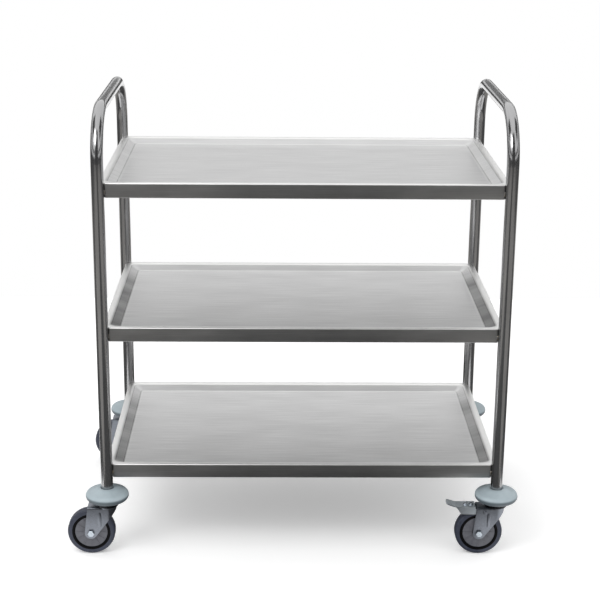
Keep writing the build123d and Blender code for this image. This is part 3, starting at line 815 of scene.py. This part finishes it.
# Grey plastic: dark and a little cool, with the rings that the turned mould leaves on the disc
cover_grey, tree = material("grey_polypropylene")
place = from_castor(tree, (-post_x - trail, -post_y, wheel_radius))
rings = add(
    tree, "ShaderNodeTexWave", {"Vector": place, "Scale": WAVE / (2 * face_turning), "Distortion": 0.6},
    wave_type="RINGS", rings_direction="Y",
).outputs["Fac"]
mottle = add(
    tree, "ShaderNodeTexNoise", {"Vector": place, "Scale": 1 / mottle_size, "Detail": 4.0}
).outputs["Fac"]
grey = add(
    tree, "ShaderNodeMix", {0: mottle, MIX_A: linear("#54555B"), MIX_B: linear("#64656C")}, data_type="RGBA"
).outputs[MIX_RESULT]
rough = add(tree, "ShaderNodeMapRange", {"Value": mottle, "To Min": 0.3, "To Max": 0.42}).outputs[0]
bump = add(tree, "ShaderNodeBump", {"Height": rings, "Strength": 0.15, "Distance": 0.0002}).outputs[0]
shader = add(tree, "ShaderNodeBsdfPrincipled", {"Base Color": grey, "Roughness": rough, "Normal": bump})
add(tree, "ShaderNodeOutputMaterial", {"Surface": shader.outputs[0]})

for corner, (side_x, side_y) in corners.items():
    dress(wheel_black, f"wheel_body_{corner}")
    dress(tyre_rubber, f"tyre_{corner}")
    dress(cover_grey, f"cover_discs_{corner}")
    axle = Vector((side_x * post_x - trail, side_y * post_y, wheel_radius))
    bm = bmesh.new()
    for side in (-1, 1):
        start = axle + Vector((0, side * tyre_half, flange_radius))
        section = bmesh.ops.create_circle(
            bm, segments=16, radius=0.5,
            matrix=Matrix.Translation(start) @ Matrix.Rotation(pi / 2, 4, "Y")
            @ Matrix.Diagonal((flange_width, 2 * flange_rise, 1, 1)),
        )["verts"]
        bmesh.ops.spin(
            bm, geom=section + list({edge for vert in section for edge in vert.link_edges}), cent=axle,
            axis=(0, 1, 0), dvec=(0, 0, 0), angle=2 * pi, steps=72, use_merge=True, use_duplicate=False,
        )
    bmesh.ops.recalc_face_normals(bm, faces=bm.faces)
    piece(f"wheel_flanges_{corner}", bm, wheel_black, f"wheel_{corner}", "black_wheel")


# Brakes. A zinc-plated pedal tips on two rivets in the fork's legs and presses a rubber shoe on the tyre.
# The shoe's two pegs pass the pedal's plate and are held by push-on caps.
braked = ("front_right", "rear_right")
peg_places = (-64 * MM, -52 * MM)
pedal_top = 110 * MM
cap_radius = 5 * MM
cap_height = 2.4 * MM
cap_taper = 0.9
cap_round = 1.4 * MM
shoe_dust = 2 * MM

# Blue zinc plate: paler and bluer than the forks, with faint stains
pedal_zinc, tree = material("blue_zinc_plate")
place = add(tree, "ShaderNodeTexCoord").outputs["Object"]
stains = add(tree, "ShaderNodeTexNoise", {"Vector": place, "Scale": 1 / stain, "Detail": 3.0}).outputs["Fac"]
pale = add(
    tree, "ShaderNodeMix", {0: stains, MIX_A: linear("#D4DDE4"), MIX_B: linear("#E6EDF2")}, data_type="RGBA"
).outputs[MIX_RESULT]
rough = add(tree, "ShaderNodeMapRange", {"Value": stains, "To Min": 0.28, "To Max": 0.42}).outputs[0]
shader = add(tree, "ShaderNodeBsdfPrincipled", {"Base Color": pale, "Metallic": 1.0, "Roughness": rough})
add(tree, "ShaderNodeOutputMaterial", {"Surface": shader.outputs[0]})

# Black rubber: matt and dusty
shoe_rubber, tree = material("black_rubber")
place = add(tree, "ShaderNodeTexCoord").outputs["Object"]
dust = add(
    tree, "ShaderNodeTexNoise", {"Vector": place, "Scale": 1 / shoe_dust, "Detail": 4.0}
).outputs["Fac"]
black = add(
    tree, "ShaderNodeMix", {0: dust, MIX_A: linear("#101011"), MIX_B: linear("#222224")}, data_type="RGBA"
).outputs[MIX_RESULT]
rough = add(tree, "ShaderNodeMapRange", {"Value": dust, "To Min": 0.6, "To Max": 0.8}).outputs[0]
bump = add(tree, "ShaderNodeBump", {"Height": dust, "Strength": 0.2, "Distance": 0.0002}).outputs[0]
shader = add(tree, "ShaderNodeBsdfPrincipled", {"Base Color": black, "Roughness": rough, "Normal": bump})
add(tree, "ShaderNodeOutputMaterial", {"Surface": shader.outputs[0]})

for corner in braked:
    dress(pedal_zinc, f"brake_pedal_{corner}")
    dress(zinc, f"pedal_rivets_{corner}")
    dress(shoe_rubber, f"brake_shoe_{corner}")
    side_x, side_y = corners[corner]
    bm = bmesh.new()
    for peg in peg_places:
        middle = (side_x * post_x + peg, side_y * post_y, pedal_top + cap_height / 2)
        cap = bmesh.ops.create_cone(
            bm, cap_ends=True, cap_tris=False, segments=32, radius1=cap_radius,
            radius2=cap_taper * cap_radius, depth=cap_height, matrix=Matrix.Translation(middle),
        )["verts"]
        crown = {vert for vert in cap if vert.co.z > middle[2]}
        brim = {edge for vert in crown for edge in vert.link_edges if crown.issuperset(edge.verts)}
        bmesh.ops.bevel(
            bm, geom=list(brim), offset=cap_round, offset_type="OFFSET", segments=5, profile=0.5,
            affect="EDGES", material=-1,
        )
    piece(f"peg_caps_{corner}", bm, bright, f"brake_{corner}", "bright_bolt")
